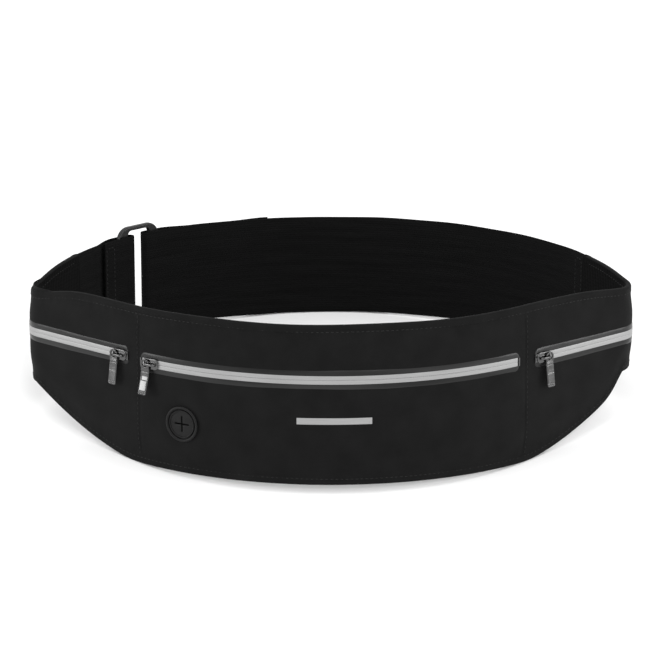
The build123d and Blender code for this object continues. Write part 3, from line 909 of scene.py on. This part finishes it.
# ---------------------------------------------------------------- earphone port
port = local_frame(PORT_AT, 0, PORT_LEVEL)
PORT_PROFILE = (
    (7.9, 3.4), (8.4, 3.4), (8.45, 4.95), (11.0, 4.85), (11.22, 5.1), (11.25, 5.5), (11.1, 5.95),
    (10.75, 6.25), (10.2, 6.3), (9.7, 6.15), (9.45, 5.8), (9.38, 5.2), (9.2, 5.02), (8.95, 5.02),
    (8.8, 5.25), (8.7, 5.75), (8.45, 5.92), (8.15, 5.88), (7.95, 5.7), (7.85, 5.3),
)
turns = np.linspace(0, 2 * math.pi, 97)[:-1]
profile = np.array(PORT_PROFILE)
verts = np.stack(
    [np.outer(np.cos(turns), profile[:, 0]), np.outer(np.sin(turns), profile[:, 0])]
    + [np.tile(profile[:, 1], (len(turns), 1))],
    -1,
)
faces = []
for i in range(len(turns)):
    for j in range(len(profile)):
        following, beside = (i + 1) % len(turns), (j + 1) % len(profile)
        around = (i, j), (following, j), (following, beside), (i, beside)
        faces.append([a * len(profile) + b for a, b in around])
ring = recalculate(new_object("port_rim", to_world(port, verts).reshape(-1, 3), faces, sharp=50))
finish_piece(ring, "pack", "port_rubber", "port_ring")

SLIT_REACH = 5.2
PETAL_REACH = 8.1
rings, spokes = np.linspace(0.7, PETAL_REACH, 31), np.linspace(0, math.pi / 2, 25)
radius, angle = np.meshgrid(rings, spokes, indexing="ij")
for number in range(4):
    middle = (number + 0.5) * math.pi / 2
    along, aside = radius * np.cos(angle), radius * np.sin(angle)
    slit = 0.03 + 0.45 * smooth((SLIT_REACH - radius) / 0.5)
    along, aside = np.maximum(along, slit), np.maximum(aside, slit)
    spin = number * math.pi / 2
    x = along * math.cos(spin) - aside * math.sin(spin)
    y = along * math.sin(spin) + aside * math.cos(spin)
    lip = np.exp(-(((np.minimum(along, aside) - slit) / 0.5) ** 2))
    lip = lip * smooth((SLIT_REACH - radius) / 0.5)
    top = 5.42 + 0.12 * (1 - (radius / PETAL_REACH) ** 2) - 0.14 * lip
    front = to_world(port, np.stack([x, y, top], -1))
    back = to_world(port, np.stack([x, y, top - 0.8 + 0.14 * lip], -1))
    petal = closed_sheet(f"port_petal_{number + 1}", front, back)
    finish_piece(petal, None, "port_rubber", f"port_flap_{number + 1}")
    toward = np.array([math.cos(middle), math.sin(middle), 0])
    ends = to_world(port, [toward * 6.6 + (0, 0, 5), toward * 3.9 + (0, 0, 5)])
    start, end = (tuple(point) for point in ends)
    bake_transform(petal)
    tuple(start)
    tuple(end)

bar_first = BAR_AT - BAR_LENGTH / 2


def bar_section(at):
    low = BAR_LEVEL - BAR_HEIGHT / 2
    base = float(shell_out(np.array(at), np.array(BAR_LEVEL)))
    return crowned(base - 0.4, base + 0.16, low, low + BAR_HEIGHT, 0.06)


bar = swept("reflective_strip", columns(bar_first, bar_first + BAR_LENGTH, 1.6), bar_section)
finish_piece(bar, "pack", "reflective_film", "reflective_bar")


# ---------------------------------------------------------------- elastic
def along_belt(first, last, out, last_out=None, step=2.0):
    """Plan points along the belt, the distance out easing from one value to another."""
    count = max(2, round(abs(last - first) / step))
    t = np.linspace(0, 1, count)
    depth = out + ((out if last_out is None else last_out) - out) * smooth(t)
    return np.stack(plan_point(first + (last - first) * t, depth), -1)


def near_loop(u, out):
    px, py, turn = (float(v) for v in lay_out(LOOP_AT))
    u = np.asarray(u, float)
    x = px + u * math.cos(turn) + out * math.sin(turn)
    return np.stack([x, py + u * math.sin(turn) - out * math.cos(turn)], -1)


def fold(hand):
    """Elastic's centre line round one bar: in along the inner layer, out to the merged layers."""
    inner, outer = ELASTIC / 2, BRIDGE_OUT + ELASTIC / 2
    reach = (outer - inner) / 2
    angle = np.linspace(0, math.pi, 15)
    round_bar = near_loop(
        hand * (FOLD_AT - reach * 1.05 * np.sin(angle)), (inner + outer) / 2 - reach * np.cos(angle)
    )
    flat = near_loop(hand * np.linspace(FOLD_AT + 1, BRIDGE_END - 4, 6), outer + 0.1)
    t = np.linspace(0, 1, 20)
    u = BRIDGE_END - 3 + (MERGE_AT - BRIDGE_END + 3) * t
    merged = np.stack(plan_point(LOOP_AT + hand * u, ELASTIC * 1.5 + LAYER_GAP), -1)
    weight = smooth(t)[:, None]
    joining = near_loop(hand * u, outer + 0.1) * (1 - weight) + merged * weight
    return np.concatenate([round_bar, flat, joining])


def ribbon(name, path, low, high, waver=0.3):
    """Flat band standing on edge along a plan path, its two edges rolled."""
    steps = np.linalg.norm(np.diff(path, axis=0), axis=1)
    keep = np.concatenate([[True], steps > 0.15])
    path = path[keep]
    run = run_lengths(path)
    ahead = np.gradient(path, axis=0)
    ahead /= np.linalg.norm(ahead, axis=1)[:, None]
    aside = np.stack([ahead[:, 1], -ahead[:, 0]], -1)
    half = ELASTIC / 2
    fraction = np.linspace(0, 1, 12)
    curve = np.linspace(-90, 90, 5)[1:-1]
    sides, heights = [], []
    low_edge = low + waver * (0.6 * np.sin(run / 23) + 0.4 * np.sin(run / 9.1 + 1))
    high_edge = high + waver * (0.6 * np.sin(run / 27 + 2) + 0.4 * np.sin(run / 8.3))
    for facing, edge in ((1, high_edge), (-1, low_edge)):
        for value in fraction[::facing]:
            sides.append(facing * half + 0 * run)
            heights.append(low_edge + half + (high_edge - low_edge - ELASTIC) * value)
        for degrees in curve:
            sides.append(-facing * half * math.sin(math.radians(degrees)) + 0 * run)
            heights.append(edge - facing * half + facing * half * math.cos(math.radians(degrees)))
    side, level = np.stack(sides, 1), np.stack(heights, 1)
    side = side + 0.12 * waver * ripple(run[:, None], level, 19, 0.3)
    px = path[:, 0, None] + side * aside[:, 0, None]
    py = path[:, 1, None] + side * aside[:, 1, None]
    cloth = np.stack([np.repeat(run[:, None], level.shape[1], 1) * MM, level * MM, 0 * level], -1)
    return tube(name, world(px, py, level), cloth.reshape(-1, 3), sharp=50)


tab_path = np.concatenate([
    along_belt(LOOP_AT + FOLD_BACK, LOOP_AT + FOLD_AT + 0.5, ELASTIC / 2),
    fold(1),
    along_belt(LOOP_AT + MERGE_AT + 1, -PACK_END + 3, ELASTIC * 1.5 + LAYER_GAP),
])
tab = ribbon("left_tab_elastic", tab_path, -BAND, 0)
finish_piece(tab, "pack", "elastic_band", "left_tab")

tail_middle = TAIL_IN + ELASTIC / 2
return_out = ELASTIC * 1.5 + LAYER_GAP
strap_path = np.concatenate([
    along_belt(PACK_END - 3, 2 * HALF + LOOP_AT - FOLD_AT - 0.5, ELASTIC / 2),
    fold(-1),
    along_belt(2 * HALF + LOOP_AT - MERGE_AT - 1, HALF + RISE_START + 6, return_out),
    along_belt(HALF + RISE_START + 4, HALF + RISE_END - 6, return_out, tail_middle),
    along_belt(HALF + RISE_END - 8, HALF + TAIL_JOIN + 0.2, tail_middle),
])
strap = ribbon("strap_elastic", strap_path, -BAND, 0)
finish_piece(strap, "pack", "elastic_band", "strap")

tail_path = along_belt(HALF + TAIL_JOIN, HALF - TAIL_END, tail_middle)
patch_path = along_belt(HALF + TAIL_HINGE - 2, HALF - TAIL_END + 1, TAIL_IN - ELASTIC / 2)
bend = [tuple(place(HALF + at, TAIL_IN, -BAND / 2)) for at in (TAIL_HINGE + 10, TAIL_HINGE - 10)]
for piece_name, path, low, high, slot, node in (
    ("strap_tail_elastic", tail_path, -BAND + 1, -1, "elastic_band", "strap_tail"),
    ("hook_pad", patch_path, -BAND + 3, -3, "hook_and_loop", "hook_patch"),
):
    piece = ribbon(piece_name, path, low, high, waver=0.15)
    finish_piece(piece, None, slot, node)
    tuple(bend[0])
    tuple(bend[1])
    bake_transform(piece)

tape_path = along_belt(HALF - 118, HALF + 30, ELASTIC * 1.5)
pile = ribbon("loop_pile", tape_path, -BAND + 3, -3, waver=0.15)
finish_piece(pile, "pack", "hook_and_loop", "loop_tape")


# ---------------------------------------------------------------- stitching
def stitches(name, runs, pitch=3.0, gap=0.9, thick=0.42):
    """Lock stitches along runs of (points, outward) in the row frame, slightly uneven."""
    verts, faces = [], []
    for points, outward in runs:
        run = run_lengths(points) / MM
        start = pitch * 0.3
        while start + pitch - gap < run[-1]:
            length = (pitch - gap) * noise.uniform(0.92, 1.06)
            t = np.linspace(0, 1, 7)
            marks = start + length * t
            centre = np.stack([np.interp(marks, run, points[:, axis]) for axis in range(3)], -1)
            up = np.stack([np.interp(marks, run, outward[:, axis]) for axis in range(3)], -1)
            ahead = np.gradient(centre, axis=0)
            ahead /= np.linalg.norm(ahead, axis=1)[:, None]
            aside = np.cross(ahead, up)
            lean = noise.uniform(-0.12, 0.12)
            swell = np.sqrt(np.maximum(1 - (2 * t - 1) ** 2, 0)) * thick / 2 + 0.02
            lift = thick * 0.5 * np.sin(math.pi * t) - 0.12
            centre = centre + (up * lift[:, None] + aside * (lean * (2 * t - 1))[:, None]) * MM
            base = len(verts)
            for k in range(len(t)):
                for turn_index in range(6):
                    angle = turn_index * math.pi / 3
                    offset = aside[k] * math.cos(angle) + up[k] * math.sin(angle)
                    verts.append(centre[k] + offset * swell[k] * MM)
            for k in range(len(t) - 1):
                for j in range(6):
                    a, b = base + k * 6 + j, base + k * 6 + (j + 1) % 6
                    faces.append((a, b, b + 6, a + 6))
            faces.append([base + j for j in range(6)][::-1])
            faces.append([base + 6 * (len(t) - 1) + j for j in range(6)])
            start += pitch * noise.uniform(0.97, 1.03)
    return new_object(name, verts, faces, sharp=60)


def seam_run(s, out, z):
    """Points along a seam and the direction away from the belt."""
    s, out, z = np.broadcast_arrays(np.asarray(s, float), out, z)
    _, _, turn = lay_out(s)
    outward = np.sin(turn)[:, None] * ACROSS - np.cos(turn)[:, None] * BACK
    return place(s, out, z), outward


def finish_thread(obj, node, body="pack"):
    return finish_piece(obj, body, "thread", node)


s = np.arange(-PACK_END + END_SEAM + 1, PACK_END - END_SEAM - 1, 1.0)
for name, level, node in (
    ("top_thread", top_edge(s) - HEM - 0.1, "top_stitching"),
    ("bottom_thread", bottom_edge(s) + HEM + 0.1, "bottom_stitching"),
):
    face = seam_run(s, shell_out(s, level) + 0.02, level)
    reverse = seam_run(s, -0.32, level)
    finish_thread(stitches(name, [face, (reverse[0], -reverse[1])]), node)

for name, divider in zip(("left", "right"), DIVIDERS):
    z = np.arange(float(bottom_edge(divider)) + HEM + 1, -HEM, 1.0)
    station = divider + math.copysign(1.6, divider) + 0 * z
    seam = seam_run(station, shell_out(station, z) + 0.02, z)
    thread = stitches(f"{name}_divider_thread", [seam], 3.2, 1.1)
    finish_thread(thread, f"{name}_divider_stitching")


def box_runs(first, last, out, low, high, inside):
    """Four sides of a sewn box on a band."""
    across_run = np.arange(first, last + 0.1, 1.0)
    upright = np.arange(low, high + 0.1, 1.0)
    runs = [seam_run(across_run, out, low), seam_run(across_run, out, high)]
    runs += [seam_run(end + 0 * upright, out, upright) for end in (first, last)]
    return [(points, -outward if inside else outward) for points, outward in runs]


low, high = -BAND + 4, -4
fold_end = LOOP_AT + FOLD_BACK
tab_box = box_runs(fold_end - 9, fold_end - 1.5, 0.0, low, high, True)
finish_thread(stitches("tab_thread", tab_box), "tab_stitching")
strap_box = box_runs(PACK_END + 1.5, PACK_END + 9, 0.0, low, high, True)
finish_thread(stitches("strap_end_thread", strap_box), "strap_end_stitching")
tail_box = box_runs(HALF - TAIL_END + 2, HALF + TAIL_HINGE - 3, TAIL_IN + ELASTIC, low, high, False)
hook_thread = stitches("hook_thread", tail_box)
finish_thread(hook_thread, "hook_stitching", None)
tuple(bend[0])
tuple(bend[1])
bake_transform(hook_thread)


# ---------------------------------------------------------------- floor, lights, camera
bpy.ops.mesh.primitive_plane_add(size=40, location=(0, 0, 0))
floor = bpy.context.object
floor.name = "studio_floor"
floor.data.materials.append(surface("studio_floor", grey(0.9), 0.8, specular=0.1)[0])

backdrop = bpy.data.worlds.new("studio")
bpy.context.scene.world = backdrop
backdrop.use_nodes = True
backdrop.node_tree.nodes["Background"].inputs["Color"].default_value = (1, 1, 1, 1)
backdrop.node_tree.nodes["Background"].inputs["Strength"].default_value = 1.0

target = Vector(world(np.array(0.0), np.array(0.0), np.array(TARGET_LEVEL)))


def softbox(name, azimuth, elevation, distance, size, power):
    """Square soft light aimed at the belt; azimuth 0 is the camera's side, 90 its right."""
    azimuth, elevation = math.radians(azimuth), math.radians(elevation)
    away = Vector((math.sin(azimuth), -math.cos(azimuth), 0)) * math.cos(elevation)
    away.z = math.sin(elevation)
    light = bpy.data.lights.new(name, "AREA")
    light.size = size
    light.energy = power
    lamp = bpy.data.objects.new(name, light)
    lamp.location = target + away * distance
    lamp.rotation_euler = (-away).to_track_quat("-Z", "Y").to_euler()
    bpy.context.scene.collection.objects.link(lamp)


softbox("left_softbox", -78, 10, 1.5, 0.5, 7)
softbox("right_softbox", 80, 10, 1.5, 0.5, 7)
softbox("front_softbox", 10, 35, 2.3, 0.5, 12)
softbox("top_softbox", 0, 80, 1.6, 1.0, 8)

pitch = math.radians(CAMERA_PITCH)
backward = Vector(-BACK * math.cos(pitch) + UP * math.sin(pitch))
upward = Vector(BACK * math.sin(pitch) + UP * math.cos(pitch))
stand = Matrix.Identity(4)
for column, axis in enumerate((Vector(ACROSS), upward, backward)):
    for row in range(3):
        stand[row][column] = axis[row]
stand.translation = target + backward * CAMERA_DISTANCE * MM
lens = bpy.data.cameras.new("camera")
lens.lens = CAMERA_LENS
lens.sensor_width = 36
lens.shift_x, lens.shift_y = FRAME_SHIFT
lens.clip_end = 50
camera = bpy.data.objects.new("camera", lens)
camera.matrix_world = stand
bpy.context.scene.collection.objects.link(camera)
bpy.context.scene.camera = camera
bpy.context.scene.view_settings.view_transform = "Standard"
